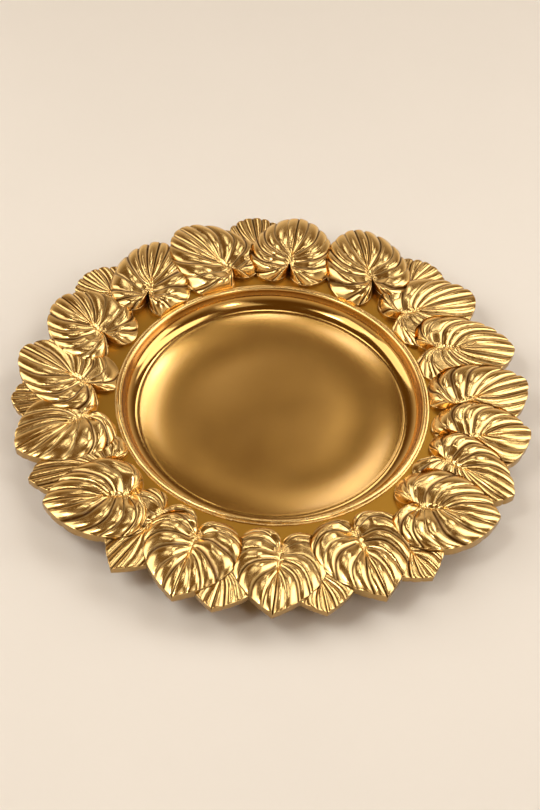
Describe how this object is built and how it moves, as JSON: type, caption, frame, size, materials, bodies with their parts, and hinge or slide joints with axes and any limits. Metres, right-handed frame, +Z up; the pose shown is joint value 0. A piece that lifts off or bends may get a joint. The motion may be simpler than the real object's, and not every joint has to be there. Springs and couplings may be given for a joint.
{
  "type": "charger plate",
  "caption": "Round metal charger plate with a shallow, gently dished well, a half-round bead round its mouth and a wide rim covered by overlapping pleated leaves.",
  "frame": {"origin": "on the table under the foot ring, on the axis of the well", "axes": "+Z up out of the well, +Y away from the viewer of the picture, +X to the viewer's right"},
  "size_m": [0.3279, 0.3268, 0.029],
  "materials": {
    "satin_gold": "spun and satin-brushed, gold lacquer",
    "bright_gold": "turned and polished, gold lacquer",
    "antique_gold": "cast and burnished, gold lacquer with dark wax left in the grooves"
  },
  "bodies": {
    "root": {"dish": "satin_gold", "foot_ring": "satin_gold", "well_bead": "bright_gold", "back_leaf_1": "antique_gold", "back_leaf_2": "antique_gold", "back_leaf_3": "antique_gold", "back_leaf_4": "antique_gold", "back_leaf_5": "antique_gold", "back_leaf_6": "antique_gold", "back_leaf_7": "antique_gold", "back_leaf_8": "antique_gold", "front_leaf_1": "antique_gold", "front_leaf_2": "antique_gold", "front_leaf_3": "antique_gold", "front_leaf_4": "antique_gold", "front_leaf_5": "antique_gold", "front_leaf_6": "antique_gold", "front_leaf_7": "antique_gold", "front_leaf_8": "antique_gold", "front_leaf_9": "antique_gold", "front_leaf_10": "antique_gold", "front_leaf_11": "antique_gold", "front_leaf_12": "antique_gold", "front_leaf_13": "antique_gold", "front_leaf_14": "antique_gold", "front_leaf_15": "antique_gold", "front_leaf_16": "antique_gold", "front_leaf_17": "antique_gold", "front_leaf_18": "antique_gold"}
  },
  "joints": []
}
